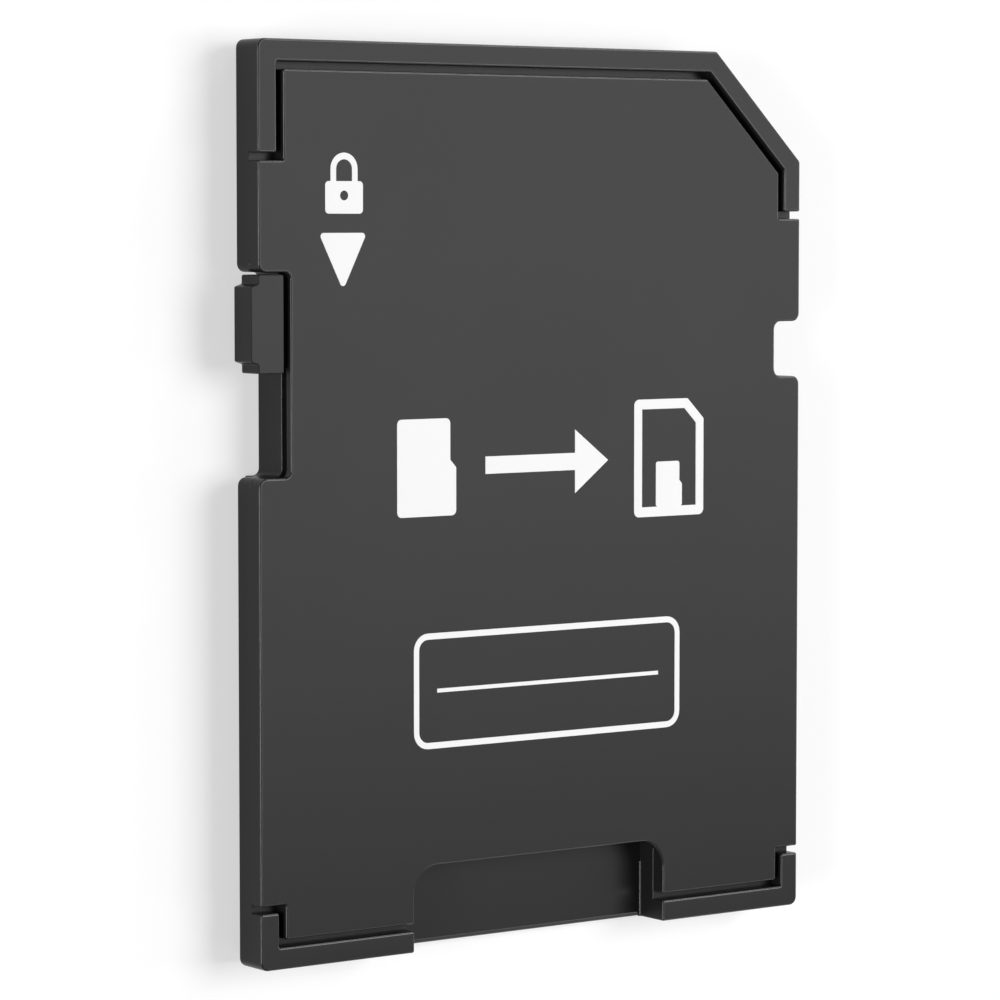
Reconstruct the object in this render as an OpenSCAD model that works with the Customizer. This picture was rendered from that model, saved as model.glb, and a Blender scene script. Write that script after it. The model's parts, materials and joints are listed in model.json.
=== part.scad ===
// Memory card adapter: a full-size card shell that carries a small card in a bay.
// It lies flat with its contact side down, +Y towards the contact end, +Z out of the front.
// The origin is the centre of the outline on the back face. All sizes are in millimetres.

/* [Card outline] */
// Width of the card across X
card_w = 24; // [24:0.5:32]
// Length of the card along Y
card_l = 32; // [31:0.5:40]
// Thickness from the back face to the front face
card_t = 2.1; // [2.0:0.05:2.6]
// Leg of the cut corner at the contact end
corner_cut = 4; // [3:0.1:4.4]
// Radius of the outline's corners
corner_r = 0.3; // [0.2:0.05:0.5]
// Radius of the two corners of the cut
cut_r = 0.2; // [0.1:0.05:0.5]
// Lead-in chamfer on the back edge of the contact end
end_lead = 0.2; // [0.1:0.05:0.4]

/* [Guide rails] */
// Width of the thin rail along each long side
rail_w = 0.75; // [0.5:0.05:0.9]
// Step from the back face up to the rails
rail_step = 0.7; // [0.5:0.05:0.75]

/* [Shells] */
// Thickness of the top cover at its edges
cover_t = 0.6; // [0.55:0.05:0.7]
// Width of the bottom shell's raised rim at both ends
rim_w = 0.76; // [0.6:0.02:0.9]
// Width of the groove between the rim and the cover
groove_w = 0.27; // [0.2:0.01:0.35]
// Length of the top rim's leg down the left side
rim_leg_left = 3.87; // [2.5:0.01:5]
// Length of the top rim's leg down the right side
rim_leg_right = 5.86; // [5.2:0.02:7]
// Length of the bottom rim's legs up both sides
rim_leg_bottom = 1.98; // [1.6:0.02:3]
// Radius of the small corners on the rim, the cover and the slider
detail_r = 0.07; // [0.05:0.01:0.13]

/* [Small card bay] */
// Width of the bay and of the finger recess
bay_w = 11.15; // [11.1:0.05:12]
// Depth of the bay from the bottom end
bay_l = 15.2; // [15:0.1:16]
// Height of the bay floor above the back face
bay_floor = 0.7; // [0.65:0.05:0.75]
// Relief in the cover above the seated small card
bay_relief = 0.05; // [0.03:0.01:0.15]
// Relief in the cover above the thick tail of the small card
mouth_relief = 0.3; // [0.1:0.05:0.4]
// Depth of that relief from the bottom end
mouth_l = 4.2; // [3.5:0.1:6]
// Lead-in chamfer on the floor at the mouth
mouth_lead = 0.15; // [0.05:0.05:0.3]
// Length of the finger recess in the cover
recess_l = 3.05; // [2.5:0.05:3.4]
// Corner radius of the finger recess
recess_r = 1; // [0.5:0.1:1.4]

/* [Lock slot and slider] */
// Distance from the contact end to the slot
slot_from_top = 7.95; // [6:0.05:8.5]
// Length of the slot
slot_l = 7.05; // [6.5:0.05:8]
// Depth of the slot from the left side
slot_d = 1.3; // [1.1:0.05:1.4]
// Radius of the slot's mouth corners
slot_r_out = 0.3; // [0.2:0.05:0.35]
// Radius of the slot's inner corners
slot_r_in = 0.25; // [0.15:0.05:0.35]
// Length of the slider's body
slider_l = 3.38; // [2.6:0.02:4.5]
// Thickness of the slider's body
slider_t = 1.1; // [0.9:0.05:1.3]
// Gap between the slider's body and each end of the slot at the end of its travel
slider_end_gap = 0.08; // [0.05:0.01:0.15]
// Gap between the slider's body and the slot wall
slider_side_gap = 0.28; // [0.15:0.01:0.35]
// How far the thumb tab stands proud of the card's side
tab_proud = 0.3; // [0.15:0.05:0.4]
// Length of the neck between the slider's end and the tab
tab_neck = 0.31; // [0.25:0.01:0.5]
// Thickness of the slider's tongue
tongue_t = 0.2; // [0.15:0.01:0.25]
// Clearance above and below the tongue
tongue_gap = 0.05; // [0.03:0.01:0.06]
// Thickness of the wall that the slider's hook runs behind
hook_wall = 0.5; // [0.4:0.05:0.6]
// Thickness of the hook across X
hook_w = 0.6; // [0.4:0.05:0.7]
// How far the hook hangs down below the tongue
hook_drop = 0.4; // [0.2:0.05:0.5]
// Clearance around the hook
hook_gap = 0.1; // [0.06:0.01:0.15]

/* [Side notch] */
// Distance from the contact end to the notch on the right side
notch_from_top = 9.95; // [9:0.05:14]
// Length of the notch
notch_l = 2.05; // [1.6:0.05:2.6]
// Depth of the notch
notch_d = 1.2; // [1:0.05:1.3]
// Radius of the notch's corners
notch_r = 0.3; // [0.15:0.05:0.35]

/* [Contacts] */
// Thickness of the contact metal
metal_t = 0.15; // [0.1:0.01:0.2]
// Pitch of the host pads
pad_pitch = 2.5; // [2.4:0.05:2.5]
// Pitch from the sixth to the seventh host pad
pad_pitch_7 = 2.425; // [2.35:0.025:2.5]
// Pitch from the seventh to the eighth host pad
pad_pitch_8 = 1.7; // [1.6:0.05:1.8]
// Distance from the right side to the ninth pad, which sits next to the cut corner
pad_inset = 3; // [2.8:0.1:3.1]
// Width of the wide host pads
pad_w = 1.9; // [1.6:0.05:2]
// Width of the two narrow host pads
pad_w_narrow = 1.3; // [1:0.05:1.35]
// Distance from the contact end to the pads
pad_start = 1; // [0.9:0.05:1.3]
// Length of the host pads
pad_l = 4.2; // [3.8:0.1:4.4]
// How much lower the ninth pad sits
pad_9_drop = 1.6; // [1.4:0.1:2]
// Width of the ledge that carries each side of a pad
pad_ledge = 0.15; // [0.1:0.01:0.2]
// Width of the strips that run to the small card
strip_w = 0.6; // [0.4:0.05:0.65]
// Pitch of the spring fingers
finger_pitch = 1.1; // [1.05:0.05:1.2]
// Length of the spring fingers
finger_l = 4; // [3.5:0.1:4.4]
// Rise of the spring fingers above the strips
finger_rise = 0.35; // [0.2:0.05:0.4]
// Depth of the well under the fingers
finger_well = 0.2; // [0.1:0.05:0.3]
// Clearance around the strips in their channels
strip_gap = 0.05; // [0.03:0.01:0.08]
// Height of the ground strap above the pads it crosses
strap_gap = 0.15; // [0.1:0.01:0.2]
// Width of the ground strap along Y
strap_w = 0.6; // [0.4:0.05:0.8]

/* [Card spring] */
// Distance from the bottom end to the middle of the spring
spring_from_end = 7.8; // [7:0.1:9]
// Length of the leaf spring
spring_l = 8; // [7:0.1:9]
// Height of the leaf spring along Z
spring_h = 0.6; // [0.4:0.05:0.65]
// How far the spring's bump stands into the bay
spring_bump = 0.27; // [0.1:0.01:0.4]
// Width of the pocket behind the bay wall
spring_pocket_w = 1; // [0.9:0.05:1.2]

/* [Hidden] */

// How far a cutter runs past the face that it cuts
over = 0.5;

// Outline
side_x = card_w / 2;
end_y = card_l / 2;
// Sum of x and y along the cut corner's edge
cut_sum = side_x + end_y - corner_cut;

// Heights
seam_z = card_t - cover_t;
pad_z = rail_step;
strip_top_z = pad_z + metal_t;

// Rim, groove and cover
cover_inset = rim_w + groove_w;
left_leg_y = end_y - rim_leg_left;
right_leg_y = end_y - rim_leg_right;
bottom_leg_y = -end_y + rim_leg_bottom;

// Bay
bay_half = bay_w / 2;
bay_end_y = -end_y + bay_l;

// Slot and notch
slot_top_y = end_y - slot_from_top;
slot_low_y = slot_top_y - slot_l;
slot_wall_x = -side_x + slot_d;
notch_top_y = end_y - notch_from_top;
notch_low_y = notch_top_y - notch_l;

// Slider at rest, against the slot's upper end
slider_top_y = slot_top_y - slider_end_gap;
slider_low_y = slider_top_y - slider_l;
slider_in_x = slot_wall_x - slider_side_gap;
tongue_z = seam_z + tongue_gap;
hook_x = slot_wall_x + hook_wall + hook_gap;
hook_pocket_x = hook_x + hook_w + hook_gap;
hook_z = tongue_z - hook_drop;
// The tongue is shorter than the body by this much at each end, and runs this far under it
tongue_inset = 0.15;
tongue_root = 0.2;
// Length along Y of the slope between the slider's side and its tab
tab_ramp = 0.1;

// Contacts: host pads 9, 1, 2, 3, 4, 5, 6, 7, 8 from right to left
pad_9_x = side_x - pad_inset;
pad_6_x = pad_9_x - 6 * pad_pitch;
pad_xs = concat(
    [for (i = [0:6]) pad_9_x - i * pad_pitch],
    [pad_6_x - pad_pitch_7, pad_6_x - pad_pitch_7 - pad_pitch_8]
);
pad_top_y = end_y - pad_start;
pad_low_y = pad_top_y - pad_l;
// Host pad that each of the eight small card pads is wired to
host_pad = [0, 1, 2, 4, 5, 6, 7, 8];
// Second ground pad, which the strap joins to the first
strap_pad = 3;
ground = 5;
// Straight run of a strip on each side of its pad's edge
strip_lead = 0.6;
// X of the spring finger of each small card pad, from right to left
finger_xs = [for (k = [0:7]) (3.5 - k) * finger_pitch];
// Shape of a finger in fractions of its length: where it bends up and where its bump lies
finger_bend = 0.2;
finger_bump = [0.68, 0.78];
// Height of the finger's tip as a fraction of its bump's
finger_tip = 0.35;
// The well under the fingers ends this far past their tips, and this far to each side
well_end = 0.6;
well_half = 4.5 * finger_pitch;
// Lap of the ground strap on its pads, and the run of its slope up to the pads' edges
strap_lap = 0.2;
strap_slope = 0.5;

// Bars under the cover: the stop at the bay's end, one in the middle and one over the pads
clamp_gap = 0.1;
stop_bar_l = 1.2;
mid_bar_l = 1;
pad_bar_y = pad_low_y + 0.4;
mid_bar_y = (bay_end_y + stop_bar_l + pad_bar_y - mid_bar_l) / 2;

// The strips fan out at one slope, the steepest that leaves each one straight under the stop
fan_slope = min([
    for (k = [0:7]) let (i = host_pad[k])
        (fan_top_y(i) - bay_end_y - stop_bar_l) / abs(pad_xs[i] - finger_xs[k])
]);
// Room between the outer strips and the edges of the pocket
fan_room = 1.2;

// Pocket over the strips, and the land that it leaves under the cover's edge
pocket_land = 0.45;
pocket_top_y = end_y - cover_inset - pocket_land;
pocket_right_x = side_x - notch_d - pocket_land;
pocket_cut_sum = cut_sum - (cover_inset + pocket_land) * sqrt(2);
pocket_left_x = -side_x + cover_inset + pad_ledge;
// Beside the slot the pocket stays clear of the hook, and it slopes out again above the slot
pocket_slot_x = hook_pocket_x + 0.4;
pocket_slot_y = slot_top_y + 0.5;
pocket_slope_l = 1.1;
// Narrow end of the pocket over the bay's end, and where its sides have sloped out
pocket_half = bay_half - 0.55;
pocket_start_y = min(fan_y(0, pocket_half), fan_y(8, -pocket_half)) - fan_room;
pocket_left_y = fan_y(8, pocket_slot_x) - fan_room;
pocket_right_y = fan_top_y(0) - fan_room;

// Bands along Y that the bars fill: [low, high]
clamps = [
    [bay_end_y, bay_end_y + stop_bar_l],
    [mid_bar_y, mid_bar_y + mid_bar_l],
    [pad_bar_y, pocket_top_y]
];
strap_y = (pad_bar_y + pocket_top_y) / 2;

// Card spring
spring_mid_y = -end_y + spring_from_end;
spring_x = bay_half + spring_pocket_w - metal_t;
// Shape of the spring in fractions of its length from its middle: its bump and its feet
spring_flat = 0.05;
spring_foot = 0.36;
// Half length of the opening towards the bay, as the same kind of fraction
spring_window = 0.28;
// Wall between the bay and the rest of the spring's pocket, and clearance round the spring
spring_wall = 0.35;
spring_gap = 0.05;

// Colours
shell_colour = [0.23, 0.23, 0.24];
cover_colour = [0.27, 0.27, 0.28];
slider_colour = [0.3, 0.3, 0.31];
metal_colour = [0.86, 0.7, 0.38];
spring_colour = [0.75, 0.76, 0.78];

// Steps in a rounded corner of radius r
function arc_steps(r) = max(5, ceil(12 * r));

// Unit vector along an edge, and the normal on its left
function unit(v) = v / norm(v);
function left_of(u) = [-u[1], u[0]];
function xy(c) = [c[0], c[1]];

// Signed turn from direction u1 to direction u2, in degrees
function turn_of(u1, u2) = atan2(u1[0] * u2[1] - u1[1] * u2[0], u1 * u2);

// One corner [x, y, radius] of a closed outline, moved inwards by d and rounded
function corner(before, here, after, d) =
    let (
        u1 = unit(xy(here) - xy(before)),
        u2 = unit(xy(after) - xy(here)),
        turn = turn_of(u1, u2),
        side = sign(turn),
        normals = left_of(u1) + left_of(u2),
        v = xy(here) + d * normals / (1 + left_of(u1) * left_of(u2)),
        r = here[2] - side * d,
        centre = v - u1 * r * tan(abs(turn) / 2) + side * r * left_of(u1),
        start = atan2(u1[1], u1[0]) - 90 * side,
        steps = arc_steps(here[2])
    )
    here[2] == 0 ? [v] :
    [for (i = [0:steps]) let (a = start + turn * i / steps) centre + r * [cos(a), sin(a)]];

// A closed outline from its corners, listed anticlockwise
function outline(c, d = 0) =
    let (n = len(c))
    [for (i = [0:n - 1]) each corner(c[(i + n - 1) % n], c[i], c[(i + 1) % n], d)];

// A strip of width w along a line of points, with mitred bends
function ribbon(p, w) =
    let (
        n = len(p),
        u = [for (i = [0:n - 2]) unit(p[i + 1] - p[i])],
        m = [for (i = [0:n - 1])
            let (a = left_of(u[max(i - 1, 0)]), b = left_of(u[min(i, n - 2)]))
            (a + b) / (1 + a * b)]
    )
    concat(
        [for (i = [0:n - 1]) p[i] - m[i] * w / 2],
        [for (i = [n - 1:-1:0]) p[i] + m[i] * w / 2]
    );

// A plate with the given corners between two heights
module slab(c, z0, z1) {
    translate([0, 0, z0]) linear_extrude(z1 - z0) polygon(outline(c));
}

// A box between two corners
module block(low, high) {
    translate(low) cube(high - low);
}

// Corners of the side notch and of the lock slot
function notch_corners() = [
    [side_x, notch_low_y, notch_r],
    [side_x - notch_d, notch_low_y, notch_r],
    [side_x - notch_d, notch_top_y, notch_r],
    [side_x, notch_top_y, notch_r]
];
function slot_corners() = [
    [-side_x, slot_top_y, slot_r_out],
    [slot_wall_x, slot_top_y, slot_r_in],
    [slot_wall_x, slot_low_y, slot_r_in],
    [-side_x, slot_low_y, slot_r_out]
];

// Corners of the whole card
function card_corners() = concat(
    [[-side_x, -end_y, corner_r], [side_x, -end_y, corner_r]],
    notch_corners(),
    [
        [side_x, cut_sum - side_x, cut_r],
        [side_x - corner_cut, end_y, cut_r],
        [-side_x, end_y, corner_r]
    ],
    slot_corners()
);

// Corners of the rim at the contact end, which follows the cut corner
function top_rim_corners() = [
    [side_x, right_leg_y, detail_r],
    [side_x, cut_sum - side_x, cut_r],
    [side_x - corner_cut, end_y, cut_r],
    [-side_x, end_y, corner_r],
    [-side_x, left_leg_y, detail_r],
    [-side_x + rim_w, left_leg_y, detail_r],
    [-side_x + rim_w, end_y - rim_w, detail_r],
    [cut_sum - end_y - rim_w * (sqrt(2) - 1), end_y - rim_w, detail_r],
    [side_x - rim_w, cut_sum - side_x - rim_w * (sqrt(2) - 1), detail_r],
    [side_x - rim_w, right_leg_y, detail_r]
];

// Corners of the rim at the bottom end, left of the bay, which trims its end
function low_rim_corners() = [
    [-side_x, -end_y, corner_r],
    [-bay_half + over, -end_y, 0],
    [-bay_half + over, -end_y + rim_w, 0],
    [-side_x + rim_w, -end_y + rim_w, detail_r],
    [-side_x + rim_w, bottom_leg_y, detail_r],
    [-side_x, bottom_leg_y, detail_r]
];

// Corners of the cover: full width in the middle, set in from the rim at both ends
function cover_corners() = concat(
    [
        [-side_x + cover_inset, -end_y + cover_inset, detail_r],
        [-bay_half, -end_y + cover_inset, detail_r],
        [-bay_half, -end_y + recess_l, recess_r],
        [bay_half, -end_y + recess_l, recess_r],
        [bay_half, -end_y + cover_inset, detail_r],
        [side_x - cover_inset, -end_y + cover_inset, detail_r],
        [side_x - cover_inset, bottom_leg_y + groove_w, detail_r],
        [side_x, bottom_leg_y + groove_w, detail_r]
    ],
    notch_corners(),
    [
        [side_x, right_leg_y - groove_w, detail_r],
        [side_x - cover_inset, right_leg_y - groove_w, detail_r],
        [side_x - cover_inset, cut_sum - side_x - cover_inset * (sqrt(2) - 1), detail_r],
        [cut_sum - end_y - cover_inset * (sqrt(2) - 1), end_y - cover_inset, detail_r],
        [-side_x + cover_inset, end_y - cover_inset, detail_r],
        [-side_x + cover_inset, left_leg_y - groove_w, detail_r],
        [-side_x, left_leg_y - groove_w, detail_r]
    ],
    slot_corners(),
    [
        [-side_x, bottom_leg_y + groove_w, detail_r],
        [-side_x + cover_inset, bottom_leg_y + groove_w, detail_r]
    ]
);

// Plan of the pocket over the contact strips, widening from the bay to the pads
function pocket_corners() = [
    [-pocket_half, bay_end_y - over, 0],
    [pocket_half, bay_end_y - over, 0],
    [pocket_half, pocket_start_y, 0],
    [pocket_right_x, pocket_right_y, 0],
    [pocket_right_x, pocket_cut_sum - pocket_right_x, 0],
    [pocket_cut_sum - pocket_top_y, pocket_top_y, 0],
    [pocket_left_x, pocket_top_y, 0],
    [pocket_left_x, pocket_slot_y + pocket_slope_l, 0],
    [pocket_slot_x, pocket_slot_y, 0],
    [pocket_slot_x, pocket_left_y, 0],
    [-pocket_half, pocket_start_y, 0]
];

// Width of a host pad, and how much lower it sits than the others
function pad_width(i) = i > 6 ? pad_w_narrow : pad_w;
function pad_drop(i) = i == 0 ? pad_9_drop : 0;

// Y where the strip from a host pad starts to slope, and its Y at the given X
function fan_top_y(i) = pad_low_y - pad_drop(i) - strip_lead;
function fan_y(i, x) = fan_top_y(i) - fan_slope * abs(pad_xs[i] - x);

// Line that a strip follows from its host pad to the root of its finger
function strip_line(k) =
    let (i = host_pad[k])
    [
        [pad_xs[i], fan_top_y(i) + 2 * strip_lead],
        [pad_xs[i], fan_top_y(i)],
        [finger_xs[k], fan_y(i, finger_xs[k])],
        [finger_xs[k], bay_end_y]
    ];

// Plan of one host pad, grown by g
module pad_plan(i, g = 0) {
    translate([pad_xs[i] - pad_width(i) / 2 - g, pad_low_y - pad_drop(i) - g])
        square([pad_width(i) + 2 * g, pad_l + 2 * g]);
}

// Plan of one contact, grown by g
module contact_plan(k, g = 0) {
    pad_plan(host_pad[k], g);
    polygon(ribbon(strip_line(k), strip_w + 2 * g));
}

// Side profile of a spring finger in Y and Z: up to its bump, then down at the tip
module finger() {
    mid_z = pad_z + metal_t / 2;
    line = [
        [bay_end_y, mid_z],
        [bay_end_y - finger_bend * finger_l, mid_z],
        [bay_end_y - finger_bump[0] * finger_l, mid_z + finger_rise],
        [bay_end_y - finger_bump[1] * finger_l, mid_z + finger_rise],
        [bay_end_y - finger_l, mid_z + finger_tip * finger_rise]
    ];
    translate([-strip_w / 2, 0, 0])
        rotate([90, 0, 90])
            linear_extrude(strip_w) polygon(ribbon(line, metal_t));
}

// Strap that joins the two ground pads over the pads between them, as a line in X and Z.
// It rises within its pads, so that it clears the walls beside them.
function strap_line() =
    let (
        low = pad_z + metal_t / 2,
        high = low + metal_t + strap_gap,
        left = pad_xs[host_pad[ground]] + pad_w / 2,
        right = pad_xs[strap_pad] - pad_w / 2
    )
    [
        [left - strap_slope - strap_lap, low], [left - strap_slope, low], [left, high],
        [right, high], [right + strap_slope, low], [right + strap_slope + strap_lap, low]
    ];

module strap(w, t) {
    translate([0, strap_y + w / 2, 0])
        rotate([90, 0, 0])
            linear_extrude(w) polygon(ribbon(strap_line(), t));
}

module contact(k) {
    translate([0, 0, pad_z])
        linear_extrude(metal_t) contact_plan(k);
    translate([finger_xs[k], 0, 0]) finger();
}

// Line of the card spring in plan: both ends lie on the pocket's back wall
function spring_line() =
    let (x = spring_x, in_x = bay_half - spring_bump + metal_t / 2, l = spring_l)
    [
        [x, spring_mid_y - l / 2],
        [x, spring_mid_y - spring_foot * l],
        [in_x, spring_mid_y - spring_flat * l],
        [in_x, spring_mid_y + spring_flat * l],
        [x, spring_mid_y + spring_foot * l],
        [x, spring_mid_y + l / 2]
    ];

module bottom_shell() {
    color(shell_colour)
    difference() {
        union() {
            slab(card_corners(), 0, seam_z);
            slab(top_rim_corners(), seam_z, card_t);
            slab(low_rim_corners(), seam_z, card_t);
            mirror([1, 0, 0]) slab(low_rim_corners(), seam_z, card_t);
        }
        lead_in([-side_x, end_y, 0], card_w, end_lead);
        rail_cut();
        mirror([1, 0, 0]) rail_cut();
        bay_cut();
        contact_cuts();
        slider_pocket();
        spring_pocket();
    }
}

// Step along the left side that leaves its thin guide rail
module rail_cut() {
    block([-side_x - over, -end_y - over, -over], [-side_x + rail_w, end_y + over, rail_step]);
}

// Corners of the bay's cutter, which rounds both sides of the mouth
function bay_corners() = [
    [-side_x, -end_y - over, 0],
    [side_x, -end_y - over, 0],
    [side_x, -end_y, 0],
    [bay_half, -end_y, detail_r],
    [bay_half, bay_end_y, 0],
    [-bay_half, bay_end_y, 0],
    [-bay_half, -end_y, detail_r],
    [-side_x, -end_y, 0]
];

// A bar that breaks an edge of the given length along X by a chamfer of the given leg.
// It is wider than the chamfer, so that its own edges stay clear of the part.
module lead_in(corner, length, leg) {
    translate(corner - [over, 0, 0])
        rotate([45, 0, 0])
            translate([0, -leg, -leg / sqrt(2)])
                cube([length + 2 * over, 2 * leg, leg * sqrt(2)]);
}

// Bay for the small card, with a lead-in at its mouth and a well under the fingers
module bay_cut() {
    slab(bay_corners(), bay_floor, card_t + over);
    intersection() {
        lead_in([-bay_half, -end_y, bay_floor], bay_w, mouth_lead);
        block([-bay_half, -end_y - over, 0], [bay_half, bay_end_y, card_t]);
    }
    block(
        [-well_half, bay_end_y - finger_l - well_end, bay_floor - finger_well],
        [well_half, bay_end_y, bay_floor + over]
    );
}

// Pocket over the strips, a channel for each strip and a window under each pad
module contact_cuts() {
    translate([0, 0, strip_top_z])
        linear_extrude(card_t) polygon(outline(pocket_corners()));
    translate([0, 0, pad_z])
        linear_extrude(metal_t) {
            for (k = [0:7]) contact_plan(k, strip_gap);
            pad_plan(strap_pad, strip_gap);
        }
    for (i = [0:8]) {
        w = pad_width(i) - 2 * pad_ledge;
        low_y = pad_low_y - pad_drop(i) + pad_ledge;
        block([pad_xs[i] - w / 2, low_y, -over], [pad_xs[i] + w / 2, end_y + over, pad_z]);
    }
}

module slider_pocket() {
    block(
        [slot_wall_x + hook_wall, slot_low_y, hook_z - hook_gap],
        [hook_pocket_x, slot_top_y, seam_z + over]
    );
}

// Slot beside the bay for the card spring, open to the bay round its bump
module spring_pocket() {
    z = seam_z - spring_h - 2 * spring_gap;
    half = spring_l / 2 + 2 * spring_gap;
    window = spring_window * spring_l;
    block(
        [bay_half + spring_wall, spring_mid_y - half, z],
        [bay_half + spring_pocket_w, spring_mid_y + half, seam_z + over]
    );
    block(
        [bay_half - over, spring_mid_y - window, z],
        [bay_half + spring_pocket_w, spring_mid_y + window, seam_z + over]
    );
}

module top_cover() {
    color(cover_colour)
    difference() {
        union() {
            slab(cover_corners(), seam_z, card_t);
            clamp_bars();
        }
        block(
            [-bay_half, -end_y, seam_z - over],
            [bay_half, bay_end_y, seam_z + bay_relief]
        );
        block(
            [-bay_half, -end_y, seam_z - over],
            [bay_half, -end_y + mouth_l, seam_z + mouth_relief]
        );
        block(
            [slot_wall_x - over, slot_low_y, seam_z - over],
            [hook_pocket_x, slot_top_y, tongue_z + tongue_t + tongue_gap]
        );
        strap(strap_w + 2 * clamp_gap, metal_t + 2 * strip_gap);
    }
}

// Bars under the cover that press on the strips; the first one stops the small card
module clamp_bars() {
    translate([0, 0, strip_top_z])
        linear_extrude(seam_z - strip_top_z)
            intersection() {
                polygon(outline(pocket_corners(), clamp_gap));
                for (band = clamps)
                    translate([-side_x, band[0]]) square([card_w, band[1] - band[0]]);
            }
}

module lock_slider() {
    color(slider_colour)
    union() {
        slab([
            [-side_x, slider_low_y, detail_r],
            [slider_in_x, slider_low_y, detail_r],
            [slider_in_x, slider_top_y, detail_r],
            [-side_x, slider_top_y, detail_r],
            [-side_x, slider_top_y - tab_neck, detail_r],
            [-side_x - tab_proud, slider_top_y - tab_neck - tab_ramp, detail_r],
            [-side_x - tab_proud, slider_low_y + tab_neck + tab_ramp, detail_r],
            [-side_x, slider_low_y + tab_neck, detail_r]
        ], card_t - slider_t, card_t);
        block(
            [slider_in_x - tongue_root, slider_low_y + tongue_inset, tongue_z],
            [hook_x + hook_w, slider_top_y - tongue_inset, tongue_z + tongue_t]
        );
        block(
            [hook_x, slider_low_y + tongue_inset, hook_z],
            [hook_x + hook_w, slider_top_y - tongue_inset, tongue_z + tongue_t]
        );
    }
}

module card_spring() {
    color(spring_colour)
    translate([0, 0, seam_z - spring_h - spring_gap])
        linear_extrude(spring_h) polygon(ribbon(spring_line(), metal_t));
}

module contact_ground() {
    color(metal_colour)
    union() {
        contact(ground);
        translate([0, 0, pad_z])
            linear_extrude(metal_t) pad_plan(strap_pad);
        strap(strap_w, metal_t);
    }
}

module contact_data_2() {
    color(metal_colour) contact(0);
}

module contact_data_3() {
    color(metal_colour) contact(1);
}

module contact_command() {
    color(metal_colour) contact(2);
}

module contact_supply() {
    color(metal_colour) contact(3);
}

module contact_clock() {
    color(metal_colour) contact(4);
}

module contact_data_0() {
    color(metal_colour) contact(6);
}

module contact_data_1() {
    color(metal_colour) contact(7);
}

bottom_shell();
top_cover();
lock_slider();
card_spring();
contact_data_2();
contact_data_3();
contact_command();
contact_supply();
contact_clock();
contact_ground();
contact_data_0();
contact_data_1();
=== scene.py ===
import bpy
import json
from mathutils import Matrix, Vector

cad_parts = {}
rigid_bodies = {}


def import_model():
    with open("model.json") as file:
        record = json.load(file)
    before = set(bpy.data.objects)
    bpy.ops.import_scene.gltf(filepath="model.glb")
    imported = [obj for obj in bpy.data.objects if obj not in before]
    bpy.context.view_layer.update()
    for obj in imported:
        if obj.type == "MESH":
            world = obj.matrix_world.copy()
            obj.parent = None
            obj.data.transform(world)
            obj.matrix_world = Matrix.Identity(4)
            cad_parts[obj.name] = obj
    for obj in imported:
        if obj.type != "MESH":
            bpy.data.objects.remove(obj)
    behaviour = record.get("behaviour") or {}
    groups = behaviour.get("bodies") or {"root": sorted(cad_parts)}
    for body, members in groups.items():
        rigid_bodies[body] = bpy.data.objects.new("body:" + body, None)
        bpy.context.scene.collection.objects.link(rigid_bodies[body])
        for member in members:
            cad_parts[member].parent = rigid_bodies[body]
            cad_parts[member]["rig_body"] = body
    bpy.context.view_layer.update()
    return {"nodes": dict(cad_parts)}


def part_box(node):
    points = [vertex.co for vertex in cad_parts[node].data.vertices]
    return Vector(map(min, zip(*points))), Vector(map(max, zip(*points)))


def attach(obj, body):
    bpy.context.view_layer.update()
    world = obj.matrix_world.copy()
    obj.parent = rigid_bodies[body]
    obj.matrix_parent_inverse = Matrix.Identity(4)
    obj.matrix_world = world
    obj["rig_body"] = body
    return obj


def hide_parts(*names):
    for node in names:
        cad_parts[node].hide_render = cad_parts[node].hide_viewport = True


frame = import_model()

# Looks of the memory card adapter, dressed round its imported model.
# The card lies on its back face, with its contact end towards +Y and its front face up.
# Lengths are written in millimetres and turned into metres with MM.

import json
import math

import bmesh
import bpy
from mathutils import Matrix, Vector

MM = 0.001

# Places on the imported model
SHELL_LOW, SHELL_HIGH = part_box("bottom_shell")
FRONT_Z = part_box("top_cover")[1].z
SIDE_X = SHELL_HIGH.x
MOUTH_Y = SHELL_LOW.y
SEAM_Z = 1.5 * MM
NOTCH_REACH = 1.4 * MM
BAY_FLOOR_Z = 0.7 * MM
BAY_HALF = 5.575 * MM

# Broken edges: their radii, and the turn between two faces from which their edge gets one
FRONT_BREAK = 0.068 * MM
FINE_BREAK = 0.035 * MM
METAL_BREAK = 0.02 * MM
WIDEST_BREAK = FRONT_BREAK
BREAK_STEPS = 4
SHARP_TURN = math.radians(32)

# Fillets at the foot of the finger recess's side walls: how far they are keyed into the corner
BAY_FILLET = 0.09 * MM
BAY_FILLET_LENGTH = 2.05 * MM
BAY_FILLET_KEY = 0.01 * MM
BAY_FILLET_STEPS = 8

# Mesh cleaning: faces that turn less than FLAT_TURN are one, and those under GENTLE_TURN are shaded as one
FLAT_TURN = math.radians(0.6)
GENTLE_TURN = math.radians(35)
SAME_POINT = 0.0005 * MM
SAME_HEIGHT = 0.004 * MM

# White print: how far it stands proud, and how deep it is keyed into the face
PRINT_PROUD = 0.012 * MM
PRINT_KEY = 0.004 * MM

# The two card sizes, for the outlines of the printed sign
SMALL_CARD_W, SMALL_CARD_L = 11, 15
FULL_CARD_W, FULL_CARD_L = 24, 32

# Camera: where it stands and what it looks at
CAMERA_AT = Vector((-87.365, 9.893, 120.033)) * MM
CAMERA_AIM = Vector((-1.097, -0.201, 1.05)) * MM
SENSOR_MM = 36
LENS_MM = 147.69
CLIP_NEAR, CLIP_FAR = 0.01, 20

# Studio: the floor's half size in metres, how brightly it shows white, and the plain light of the room
FLOOR_HALF = 5.0
FLOOR_DROP = 0.02 * MM
FLOOR_GREY = 0.55
FLOOR_GLOW = 0.5
ROOM_LIGHT = 0.15

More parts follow.
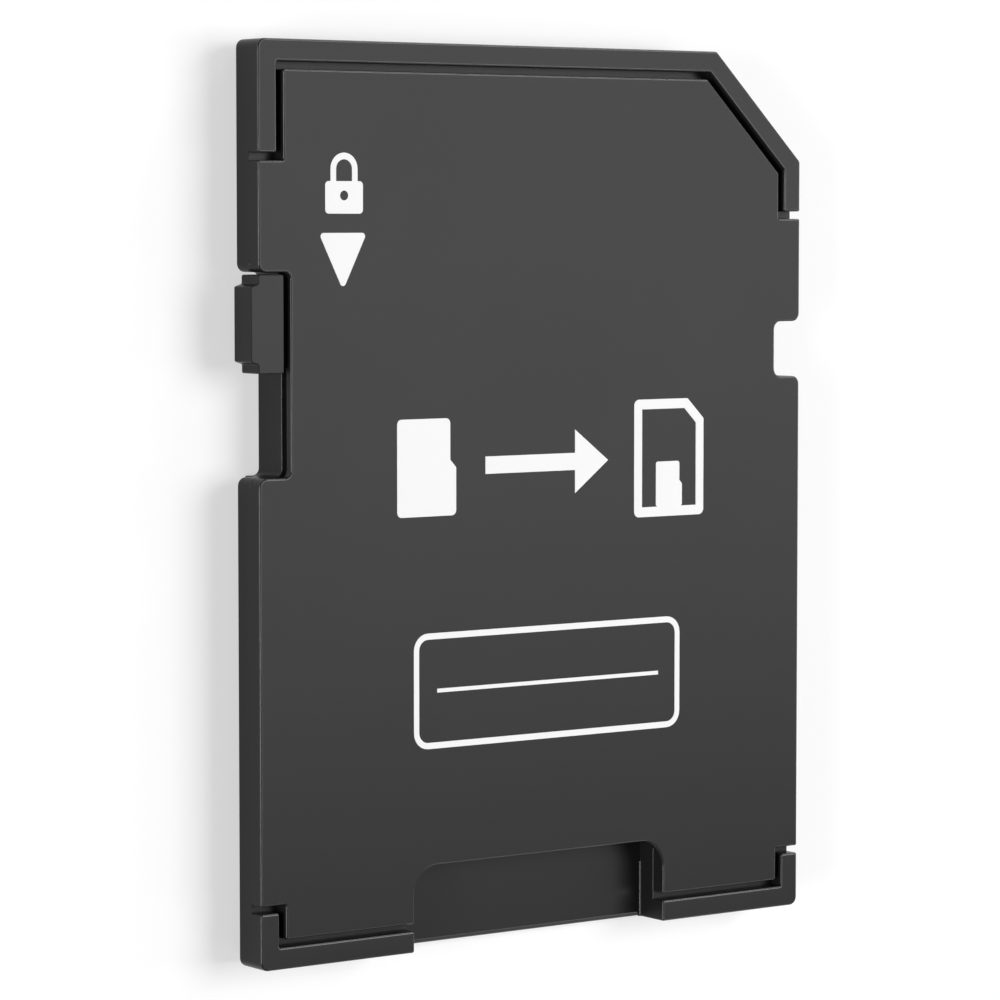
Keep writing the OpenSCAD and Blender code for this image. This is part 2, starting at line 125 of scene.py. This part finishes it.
# Soft boxes: name, direction from the card, distance, level side and other side, radiance
LAMPS = [
    ("key", (0.47, 0.12, 0.82), 350, (215, 215), 6.0),
    ("left_strip", (-0.9, -0.067, 0.44), 300, (130, 80), 12.0),
    ("top_strip", (0.586, 0.78, 0.24), 300, (110, 60), 9.0),
    ("low_fill", (0.6, -0.62, 0.5), 350, (100, 100), 3.0),
    ("right_fill", (0.91, -0.07, 0.41), 350, (80, 160), 4.0),
]

# Plastic: its colour, then roughness, specular level and grain of moulded faces and of their broken edges
BLACK = (0.019, 0.019, 0.0193)
PLASTIC_IOR = 1.49
FACE_ROUGHNESS, FACE_SPECULAR = 0.32, 0.13
EDGE_ROUGHNESS, EDGE_SPECULAR, EDGE_GRAIN = 0.2, 0.5, 0.3
SLIDER_GRAIN = 0.6

# Middle part of a noise's range, where most of its values lie
NOISE_LOW, NOISE_HIGH = 0.3, 0.7


# Node graphs

class Shader:
    """A node material whose nodes are added one by one, left to right."""

    def __init__(self, name):
        self.material = bpy.data.materials.new(name)
        self.material.use_nodes = True
        self.tree = self.material.node_tree
        self.tree.nodes.clear()
        self.output = self.tree.nodes.new("ShaderNodeOutputMaterial")

    def add(self, kind, **values):
        """Adds a node. Keys name its settings or inputs, or number its inputs as _0 and _1. A socket is linked."""
        node = self.tree.nodes.new(kind)
        for key, value in values.items():
            if hasattr(node, key):
                setattr(node, key, value)
                continue
            number = key[1:]
            socket = node.inputs[int(number) if number.isdigit() else key.replace("_", " ")]
            if isinstance(value, bpy.types.NodeSocket):
                self.tree.links.new(value, socket)
            else:
                socket.default_value = value
        return node

    def place(self):
        """Place on the piece, in metres."""
        return self.add("ShaderNodeTexCoord").outputs["Object"]

    def stretched(self, vector, scale):
        """A place that is scaled along each axis, so that noise becomes lines."""
        node = self.add("ShaderNodeMapping", Vector=vector)
        node.inputs["Scale"].default_value = scale
        return node.outputs[0]

    def noise(self, vector, size, detail=2.0):
        """Noise whose features are about the given size in millimetres."""
        return self.add(
            "ShaderNodeTexNoise", Vector=vector, Scale=1 / (size * MM), Detail=detail, Roughness=0.5
        ).outputs["Fac"]

    def ramp(self, factor, low, high, from_low=0.0, from_high=1.0):
        """Maps a factor's range onto another range."""
        node = self.add("ShaderNodeMapRange")
        self.tree.links.new(factor, node.inputs["Value"])
        node.inputs["From Min"].default_value = from_low
        node.inputs["From Max"].default_value = from_high
        node.inputs["To Min"].default_value = low
        node.inputs["To Max"].default_value = high
        return node.outputs["Result"]

    def math(self, operation, first, second):
        """One step of arithmetic on two values."""
        return self.add("ShaderNodeMath", operation=operation, _0=first, _1=second).outputs[0]

    def blend(self, first, share, second):
        """A share of one value and the rest of another."""
        return self.math("ADD", self.math("MULTIPLY", first, share), self.math("MULTIPLY", second, 1 - share))

    def tinted(self, factor, dark, light):
        """A colour between two others by a factor."""
        node = self.add("ShaderNodeMix", data_type="RGBA")
        self.tree.links.new(factor, node.inputs[0])
        node.inputs[6].default_value = (*dark, 1)
        node.inputs[7].default_value = (*light, 1)
        return node.outputs[2]

    def bump(self, height, strength, distance):
        """A normal from a height, with the distance in millimetres."""
        return self.add(
            "ShaderNodeBump", Height=height, Strength=strength, Distance=distance * MM
        ).outputs["Normal"]

    def principled(self, **values):
        """The finished material, with one Principled surface."""
        return self.finish(self.add("ShaderNodeBsdfPrincipled", **values).outputs[0])

    def finish(self, surface):
        """The finished material."""
        self.tree.links.new(surface, self.output.inputs["Surface"])
        return self.material


def moulded_plastic(name, grey, roughness, specular, grain=1.0):
    """Dark moulded plastic: a fine spark-eroded grain with a faint unevenness of tone and gloss."""
    fine_size, coarse_size, cloud_size = 0.045, 0.16, 5.0
    fine_share, tone_swing = 0.7, 0.05
    cloud_gloss, fine_gloss = 0.01, 0.02
    grain_strength, grain_depth = 0.12, 0.004
    shader = Shader(name)
    place = shader.place()
    fine = shader.noise(place, fine_size, detail=3)
    coarse = shader.noise(place, coarse_size)
    cloud = shader.noise(place, cloud_size)
    height = shader.blend(fine, fine_share, coarse)
    tone = shader.blend(cloud, fine_share, fine)
    gloss = shader.math(
        "ADD",
        shader.ramp(cloud, roughness - cloud_gloss, roughness + cloud_gloss, NOISE_LOW, NOISE_HIGH),
        shader.ramp(fine, -fine_gloss, fine_gloss),
    )
    return shader.principled(
        Base_Color=shader.tinted(
            tone, [c * (1 - tone_swing) for c in grey], [c * (1 + tone_swing) for c in grey]
        ),
        Roughness=gloss,
        IOR=PLASTIC_IOR,
        Specular_IOR_Level=specular,
        Normal=shader.bump(height, grain_strength * grain, grain_depth),
    )


def plated_gold(name):
    """Thin gold plate over rolled strip, with faint rolling lines along the strip."""
    line_width, cloud_size, along_strip = 0.05, 1.2, (1, 0.05, 1)
    shader = Shader(name)
    place = shader.place()
    lines = shader.noise(shader.stretched(place, along_strip), line_width, detail=3)
    cloud = shader.noise(place, cloud_size)
    return shader.principled(
        Base_Color=shader.tinted(cloud, (0.78, 0.53, 0.19), (0.86, 0.62, 0.27)),
        Metallic=1.0,
        Roughness=shader.ramp(lines, 0.2, 0.36, NOISE_LOW, NOISE_HIGH),
        Normal=shader.bump(lines, 0.2, 0.003),
    )


def rolled_steel(name):
    """Bright spring strip with rolling lines along it."""
    line_width, along_strip = 0.04, (0.1, 0.1, 1)
    shader = Shader(name)
    lines = shader.noise(shader.stretched(shader.place(), along_strip), line_width, detail=3)
    return shader.principled(
        Base_Color=shader.tinted(lines, (0.5, 0.5, 0.5), (0.62, 0.62, 0.61)),
        Metallic=1.0,
        Roughness=shader.ramp(lines, 0.24, 0.4, NOISE_LOW, NOISE_HIGH),
        Normal=shader.bump(lines, 0.25, 0.003),
    )


def print_ink(name):
    """Opaque white pad print, a little matt, that shows the grain below it faintly."""
    grain_size = 0.06
    shader = Shader(name)
    fine = shader.noise(shader.place(), grain_size, detail=3)
    return shader.principled(
        Base_Color=shader.tinted(fine, (0.89, 0.89, 0.89), (0.94, 0.94, 0.94)),
        Roughness=shader.ramp(fine, 0.5, 0.62, NOISE_LOW, NOISE_HIGH),
        Normal=shader.bump(fine, 0.15, 0.003),
    )


def studio_floor(name):
    """White floor that keeps the object's shadow, and is white behind it in the picture and in reflections."""
    shader = Shader(name)
    path = shader.add("ShaderNodeLightPath").outputs
    seen = shader.math("MAXIMUM", path["Is Camera Ray"], path["Is Glossy Ray"])
    seen = shader.math("MAXIMUM", seen, path["Is Transmission Ray"])
    paint = shader.add("ShaderNodeBsdfDiffuse", Color=(FLOOR_GREY, FLOOR_GREY, FLOOR_GREY, 1))
    glow = shader.add(
        "ShaderNodeEmission", Color=(1, 1, 1, 1), Strength=shader.math("MULTIPLY", seen, FLOOR_GLOW)
    )
    both = shader.add("ShaderNodeAddShader", _0=paint.outputs[0], _1=glow.outputs[0])
    return shader.finish(both.outputs[0])


# Meshes

def new_piece(name, mesh, material, body):
    """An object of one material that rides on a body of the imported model."""
    piece = bpy.data.objects.new(name, mesh)
    bpy.context.scene.collection.objects.link(piece)
    mesh.materials.clear()
    mesh.materials.append(material)
    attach(piece, body)
    return piece


def smooth_mesh(name, bm):
    """A mesh with smooth faces from a bmesh, which is freed."""
    for face in bm.faces:
        face.smooth = True
    mesh = bpy.data.meshes.new(name)
    bm.to_mesh(mesh)
    bm.free()
    return mesh


def is_outer_seam(edge):
    """True for an edge of the parting line that runs flush round the outside of the housing."""
    if any(abs(v.co.z - SEAM_Z) > SAME_HEIGHT for v in edge.verts):
        return False
    along_side = all(abs(abs(v.co.x) - SIDE_X) < SAME_HEIGHT for v in edge.verts)
    in_notch = all(v.co.x > SIDE_X - NOTCH_REACH for v in edge.verts) and edge.verts[0].co.y > 0
    return along_side or in_notch


def moulded_break(edge):
    """Radius of a moulded edge: widest on the front face, and none on the flush parting line."""
    if not edge.is_convex or is_outer_seam(edge):
        return 0
    at_front = all(v.co.z > FRONT_Z - SAME_HEIGHT for v in edge.verts)
    return FRONT_BREAK if at_front else FINE_BREAK


def fine_break(edge):
    """Radius of an edge of the slider, which is moulded sharper than the shells."""
    return FINE_BREAK if edge.is_convex else 0


def metal_break(edge):
    """Radius of an edge of stamped metal."""
    return METAL_BREAK if edge.is_convex else 0


def refined(node, break_of):
    """A copy of a node's mesh as clean flat faces, with each sharp edge's radius as a bevel weight."""
    bm = bmesh.new()
    bm.from_mesh(frame["nodes"][node].data)
    bmesh.ops.remove_doubles(bm, verts=bm.verts, dist=SAME_POINT)
    bmesh.ops.dissolve_limit(bm, angle_limit=FLAT_TURN, verts=bm.verts, edges=bm.edges)
    bmesh.ops.recalc_face_normals(bm, faces=bm.faces)
    weight = bm.edges.layers.float.new("bevel_weight_edge")
    for edge in bm.edges:
        sharp = edge.calc_face_angle(math.pi) > SHARP_TURN
        edge[weight] = break_of(edge) / WIDEST_BREAK if sharp else 0
    return smooth_mesh(node, bm)


def even_shading(mesh):
    """Gives each corner of a face a normal that averages only the faces round it that turn gently from that face."""
    gentle = math.cos(GENTLE_TURN)
    around = [[] for _ in mesh.vertices]
    for face in mesh.polygons:
        for corner in face.vertices:
            around[corner].append((face.normal.copy(), face.area))
    normals = []
    for face in mesh.polygons:
        for corner in face.vertices:
            total = Vector()
            for normal, area in around[corner]:
                if normal.dot(face.normal) > gentle:
                    total += normal * area
            normals.append(total.normalized() if total.length > 0 else face.normal.copy())
    mesh.normals_split_custom_set(normals)


def dressed(node, material, break_of, edge_material=None):
    """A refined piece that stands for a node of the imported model. Its broken edges may have a finish of their own."""
    body = frame["nodes"][node]["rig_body"]
    piece = new_piece(node + "_finish", refined(node, break_of), material, body)
    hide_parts(node)
    rounding = piece.modifiers.new("Broken edges", "BEVEL")
    rounding.limit_method = "WEIGHT"
    rounding.width = WIDEST_BREAK
    rounding.segments = BREAK_STEPS
    rounding.use_clamp_overlap = False
    if edge_material:
        piece.data.materials.append(edge_material)
        rounding.material = 1
    seen = piece.evaluated_get(bpy.context.evaluated_depsgraph_get())
    broken = bpy.data.meshes.new_from_object(seen)
    piece.modifiers.clear()
    piece.data = broken
    even_shading(broken)


def corner_fillet(name, side, material):
    """Fillet where the bay's floor meets the wall on one side of the finger recess, 1 for right and -1 for left."""
    corner = Vector((side * BAY_HALF, BAY_FLOOR_Z))
    profile = [corner + Vector((side, -1)) * BAY_FILLET_KEY]
    for k in range(BAY_FILLET_STEPS + 1):
        angle = math.pi / 2 * k / BAY_FILLET_STEPS
        hollow = Vector((-side * (1 - math.sin(angle)), 1 - math.cos(angle)))
        profile.append(corner + hollow * BAY_FILLET)
    start_y = MOUTH_Y + BAY_FILLET_KEY
    bm = bmesh.new()
    first, last = (
        [bm.verts.new((x, y, z)) for x, z in profile] for y in (start_y, start_y + BAY_FILLET_LENGTH)
    )
    bm.faces.new(first)
    bm.faces.new(last)
    for i in range(len(profile)):
        after = (i + 1) % len(profile)
        bm.faces.new([first[i], first[after], last[after], last[i]])
    bmesh.ops.recalc_face_normals(bm, faces=bm.faces)
    mesh = smooth_mesh(name, bm)
    even_shading(mesh)
    fillet = new_piece(name, mesh, material, "housing")


def printed(name, outlines, material):
    """Print on the front face from closed outlines in millimetres. Later outlines cut holes in the first."""
    curve = bpy.data.curves.new(name, "CURVE")
    curve.dimensions = "2D"
    curve.fill_mode = "BOTH"
    curve.extrude = (PRINT_PROUD + PRINT_KEY) / 2
    for points in outlines:
        spline = curve.splines.new("POLY")
        spline.points.add(len(points) - 1)
        for spot, (x, y) in zip(spline.points, points):
            spot.co = (x * MM, y * MM, 0, 1)
        spline.use_cyclic_u = True
    shape = bpy.data.objects.new(name, curve)
    bpy.context.scene.collection.objects.link(shape)
    bpy.context.view_layer.update()
    mesh = bpy.data.meshes.new_from_object(shape)
    mesh.name = name
    bpy.data.objects.remove(shape)
    for vertex in mesh.vertices:
        vertex.co.z += FRONT_Z + (PRINT_PROUD - PRINT_KEY) / 2
    new_piece(name, mesh, material, "housing")


# Outlines of the print, each a list of points in millimetres

def on_circle(x, y, radius, angle):
    """The point of a circle at an angle."""
    return x + radius * math.cos(angle), y + radius * math.sin(angle)


def circle(x, y, radius, steps):
    """A full circle."""
    return [on_circle(x, y, radius, 2 * math.pi * k / steps) for k in range(steps)]


def half_circle(x, y, radius, steps):
    """The upper half of a circle, from right to left."""
    return [on_circle(x, y, radius, math.pi * k / steps) for k in range(steps + 1)]


def rounded(corners, steps=6):
    """A closed outline with each corner [x, y, radius] rounded, in either direction."""
    points = []
    count = len(corners)
    for i, (x, y, radius) in enumerate(corners):
        if radius == 0:
            points.append((x, y))
            continue
        here = Vector((x, y))
        back = (Vector(corners[i - 1][:2]) - here).normalized()
        ahead = (Vector(corners[(i + 1) % count][:2]) - here).normalized()
        half = back.angle(ahead) / 2
        centre = here + (back + ahead).normalized() * (radius / math.sin(half))
        first = here + back * (radius / math.tan(half)) - centre
        last = here + ahead * (radius / math.tan(half)) - centre
        turn = math.atan2(first.x * last.y - first.y * last.x, first.dot(last))
        start = math.atan2(first.y, first.x)
        points += [on_circle(centre.x, centre.y, radius, start + turn * k / steps) for k in range(steps + 1)]
    return points


def inset(corners, line):
    """The corners of a convex outline, moved inwards by a line's width. Corners run anticlockwise."""
    moved = []
    count = len(corners)
    for i, (x, y, radius) in enumerate(corners):
        here = Vector((x, y))
        back = (here - Vector(corners[i - 1][:2])).normalized()
        ahead = (Vector(corners[(i + 1) % count][:2]) - here).normalized()
        normal_a = Vector((-back.y, back.x))
        normal_b = Vector((-ahead.y, ahead.x))
        step = (normal_a + normal_b) * (line / (1 + normal_a.dot(normal_b)))
        moved.append((x + step.x, y + step.y, max(radius - line, 0)))
    return moved


def lock_arrow():
    """Triangle that points the way the slider moves to lock."""
    left, right, top, tip = -9.55, -7.56, 9.39, 7.41
    corner = 0.12
    middle = (left + right) / 2
    return [rounded([(left, top, corner), (middle, tip, corner), (right, top, corner)])]


def padlock():
    """Closed padlock: its body and shackle in one outline, with the shackle's opening and the keyhole."""
    x, base = -8.5, 10.05
    body_half, body_h, corner = 0.78, 1.12, 0.14
    shackle_out, shackle_in, leg = 0.56, 0.33, 0.42
    key_r, key_height = 0.17, 0.56 * body_h
    shackle_steps, key_steps = 16, 24
    top = base + body_h
    outside = half_circle(x, top + leg, shackle_out, shackle_steps)
    inside = half_circle(x, top + leg, shackle_in, shackle_steps)
    outline = rounded(
        [(x - body_half, base, corner), (x + body_half, base, corner), (x + body_half, top, corner)]
        + [(x + shackle_out, top, 0)]
        + [(*point, 0) for point in outside]
        + [(x - shackle_out, top, 0), (x - body_half, top, corner)]
    )
    opening = [(x + shackle_in, top), *inside, (x - shackle_in, top)]
    return [outline, opening, circle(x, base + key_height, key_r, key_steps)]


def small_card(x, y, scale):
    """Solid outline of a small memory card with its stepped side, from its lower left corner."""
    width, length, corner = SMALL_CARD_W * scale, SMALL_CARD_L * scale, 0.8 * scale
    step_in, step_top, shoulder = 1.1 * scale, 7.4 * scale, 8.6 * scale
    right = x + width
    return [rounded([
        (x, y, corner), (right, y, corner), (right, y + step_top, corner / 3),
        (right - step_in, y + shoulder, corner / 3), (right - step_in, y + length, corner),
        (x, y + length, corner),
    ])]


def big_card(x, y, scale, line):
    """Line round a full-size card with its cut corner, from its lower left corner."""
    width, length = FULL_CARD_W * scale, FULL_CARD_L * scale
    cut, corner = 5.6 * scale, 1.6 * scale
    corners = [
        (x, y, corner), (x + width, y, corner), (x + width, y + length - cut, corner / 2),
        (x + width - cut, y + length, corner / 2), (x, y + length, corner),
    ]
    return [rounded(corners), rounded(inset(corners, line))]


def arrow(x0, x1, y, shaft, head_l, head_half):
    """Arrow that points to +X from x0 to x1."""
    neck = x1 - head_l
    return [[
        (x0, y - shaft / 2), (neck, y - shaft / 2), (neck, y - head_half), (x1, y),
        (neck, y + head_half), (neck, y + shaft / 2), (x0, y + shaft / 2),
    ]]


def insert_sign():
    """Small card, arrow and adapter: the outlines of the sign in the middle of the face."""
    base, top = -1.0, 3.3
    card_x, adapter_right = -6.3, 7.4
    arrow_x, arrow_gap = -2.5, 1.2
    card_share, inner_scale, line = 0.8, 0.11, 0.36
    shaft, head_l, head_half = 0.62, 1.5, 1.15
    height = top - base
    middle = (base + top) / 2
    card_l = height * card_share
    adapter_w = height * FULL_CARD_W / FULL_CARD_L
    adapter_x = adapter_right - adapter_w
    inner_x = adapter_x + adapter_w / 2 - SMALL_CARD_W * inner_scale / 2
    return {
        "card": small_card(card_x, middle - card_l / 2, card_l / SMALL_CARD_L),
        "arrow": arrow(arrow_x, adapter_x - arrow_gap, middle, shaft, head_l, head_half),
        "adapter": big_card(adapter_x, base, height / FULL_CARD_L, line),
        "adapter_card": small_card(inner_x, base + line, inner_scale),
    }


def name_field():
    """Plain field to write a name in: a frame and one ruled line."""
    left, right, base, top = -5.6, 6.3, -8.8, -4.7
    line, corner = 0.22, 0.6
    rule_margin, rule_half = 1, 0.07
    corners = [(left, base, corner), (right, base, corner), (right, top, corner), (left, top, corner)]
    rule_left, rule_right, rule_y = left + rule_margin, right - rule_margin, (base + top) / 2
    rule = [
        (rule_left, rule_y - rule_half), (rule_right, rule_y - rule_half),
        (rule_right, rule_y + rule_half), (rule_left, rule_y + rule_half),
    ]
    return {"frame": [rounded(corners), rounded(inset(corners, line))], "rule": [rule]}


# Lights and stage

def soft_box(name, direction, distance, size, radiance):
    """A soft box that faces the card. Its size is its level side, then its other side, in millimetres."""
    lamp = bpy.data.lights.new(name, "AREA")
    lamp.shape = "RECTANGLE"
    lamp.size, lamp.size_y = (side * MM for side in size)
    lamp.energy = radiance * math.pi * lamp.size * lamp.size_y
    holder = bpy.data.objects.new(name, lamp)
    bpy.context.scene.collection.objects.link(holder)
    holder.location = Vector(direction).normalized() * distance * MM
    holder.rotation_euler = (-holder.location).to_track_quat("-Z", "Y").to_euler()


def camera():
    """The picture's camera, which keeps the card's length upright."""
    data = bpy.data.cameras.new("camera")
    data.sensor_width = SENSOR_MM
    data.lens = LENS_MM
    data.clip_start = CLIP_NEAR
    data.clip_end = CLIP_FAR
    holder = bpy.data.objects.new("camera", data)
    bpy.context.scene.collection.objects.link(holder)
    back = (CAMERA_AT - CAMERA_AIM).normalized()
    right = Vector((0, 1, 0)).cross(back).normalized()
    up = back.cross(right)
    holder.matrix_world = Matrix((
        (right.x, up.x, back.x, CAMERA_AT.x),
        (right.y, up.y, back.y, CAMERA_AT.y),
        (right.z, up.z, back.z, CAMERA_AT.z),
        (0, 0, 0, 1),
    ))
    bpy.context.scene.camera = holder


def stage():
    """Floor, world and lamps."""
    half = FLOOR_HALF
    mesh = bpy.data.meshes.new("floor")
    mesh.from_pydata([(-half, -half, 0), (half, -half, 0), (half, half, 0), (-half, half, 0)], [], [(0, 1, 2, 3)])
    mesh.materials.append(studio_floor("studio_floor"))
    floor = bpy.data.objects.new("floor", mesh)
    floor.location.z = -FLOOR_DROP
    bpy.context.scene.collection.objects.link(floor)
    world = bpy.data.worlds.new("studio")
    bpy.context.scene.world = world
    world.use_nodes = True
    nodes, links = world.node_tree.nodes, world.node_tree.links
    nodes.clear()
    output = nodes.new("ShaderNodeOutputWorld")
    plain = nodes.new("ShaderNodeBackground")
    plain.inputs["Strength"].default_value = ROOM_LIGHT
    links.new(plain.outputs[0], output.inputs["Surface"])
    for lamp in LAMPS:
        soft_box(*lamp)


# Build

bpy.context.scene.view_settings.view_transform = "Standard"

shell_plastic = moulded_plastic("shell_plastic", BLACK, FACE_ROUGHNESS, FACE_SPECULAR)
cover_plastic = moulded_plastic("cover_plastic", BLACK, FACE_ROUGHNESS, FACE_SPECULAR)
slider_plastic = moulded_plastic("slider_plastic", BLACK, FACE_ROUGHNESS, FACE_SPECULAR, SLIDER_GRAIN)
shell_edge = moulded_plastic("shell_edge", BLACK, EDGE_ROUGHNESS, EDGE_SPECULAR, EDGE_GRAIN)
cover_edge = moulded_plastic("cover_edge", BLACK, EDGE_ROUGHNESS, EDGE_SPECULAR, EDGE_GRAIN)
gold = plated_gold("contact_gold")
steel = rolled_steel("spring_steel")
ink = print_ink("front_print")

dressed("bottom_shell", shell_plastic, moulded_break, shell_edge)
dressed("top_cover", cover_plastic, moulded_break, cover_edge)
dressed("lock_slider", slider_plastic, fine_break)
dressed("card_spring", steel, metal_break)
for node in sorted(frame["nodes"]):
    if node.startswith("contact_"):
        dressed(node, gold, metal_break)

corner_fillet("bay_fillet_right", 1, shell_edge)
corner_fillet("bay_fillet_left", -1, shell_edge)

printed("print_lock_arrow", lock_arrow(), ink)
printed("print_padlock", padlock(), ink)
for name, outlines in insert_sign().items():
    printed("print_insert_" + name, outlines, ink)
for name, outlines in name_field().items():
    printed("print_field_" + name, outlines, ink)

camera()
stage()
